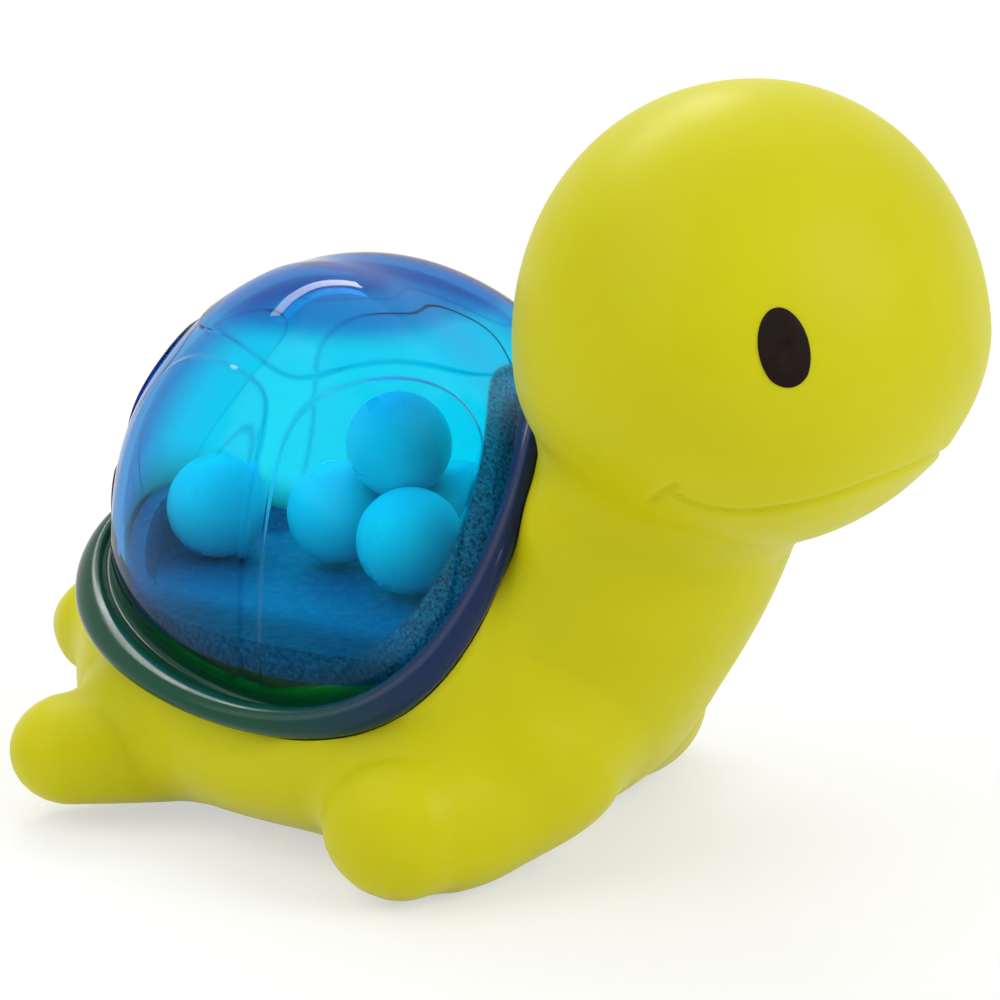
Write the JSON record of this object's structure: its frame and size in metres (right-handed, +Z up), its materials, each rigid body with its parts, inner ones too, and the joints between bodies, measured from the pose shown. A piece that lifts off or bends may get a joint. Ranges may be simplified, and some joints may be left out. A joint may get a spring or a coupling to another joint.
{
  "type": "squeaky bath toy",
  "caption": "Squeaky turtle bath toy with a hollow soft vinyl body, a clear blue rattle shell with loose balls, and a squeaker in the belly.",
  "frame": {"origin": "on the ground, in the middle of the belly's flat", "axes": "+X the way the nose points, +Y the toy's left, +Z up"},
  "size_m": [0.1403, 0.0828, 0.1],
  "materials": {
    "vinyl": "satin",
    "eye_ink": "matte",
    "clear_blue": "gloss",
    "tray_blue": "satin",
    "ball_blue": "gloss",
    "white_plastic": "satin",
    "reed_brass": "brushed"
  },
  "bodies": {
    "turtle": {"body_skin": "vinyl", "eye_right": "eye_ink", "eye_left": "eye_ink", "shell_dome": "clear_blue", "shell_tray": "tray_blue", "squeaker_barrel": "white_plastic", "squeaker_trough": "white_plastic", "squeaker_cap": "white_plastic"},
    "ball_1": {"rattle_ball_1": "ball_blue"},
    "ball_2": {"rattle_ball_2": "ball_blue"},
    "ball_3": {"rattle_ball_3": "ball_blue"},
    "ball_4": {"rattle_ball_4": "ball_blue"},
    "ball_5": {"rattle_ball_5": "ball_blue"},
    "reed": {"squeaker_reed": "reed_brass"}
  },
  "joints": [
    {"name": "ball_1_roll", "type": "slide", "parent": "turtle", "child": "ball_1", "axis": [-0.4981, 0.8671, 0], "range_m": [0, 0.014]},
    {"name": "ball_2_roll", "type": "slide", "parent": "turtle", "child": "ball_2", "axis": [0, -1, 0], "range_m": [0, 0.018]},
    {"name": "ball_3_roll", "type": "slide", "parent": "turtle", "child": "ball_3", "axis": [0, 1, 0], "range_m": [0, 0.008]},
    {"name": "ball_4_hop", "type": "slide", "parent": "turtle", "child": "ball_4", "axis": [0, 0, 1], "range_m": [0, 0.014]},
    {"name": "ball_5_roll", "type": "slide", "parent": "turtle", "child": "ball_5", "axis": [0.3009, -0.9537, 0], "range_m": [0, 0.01]},
    {"name": "reed_flutter", "type": "hinge", "parent": "turtle", "child": "reed", "pos_m": [-0.017, 0, 0.0076], "axis": [-1, 0, 0], "range_deg": [0, 5], "stiffness_Nm_per_rad": 0.0001}
  ]
}
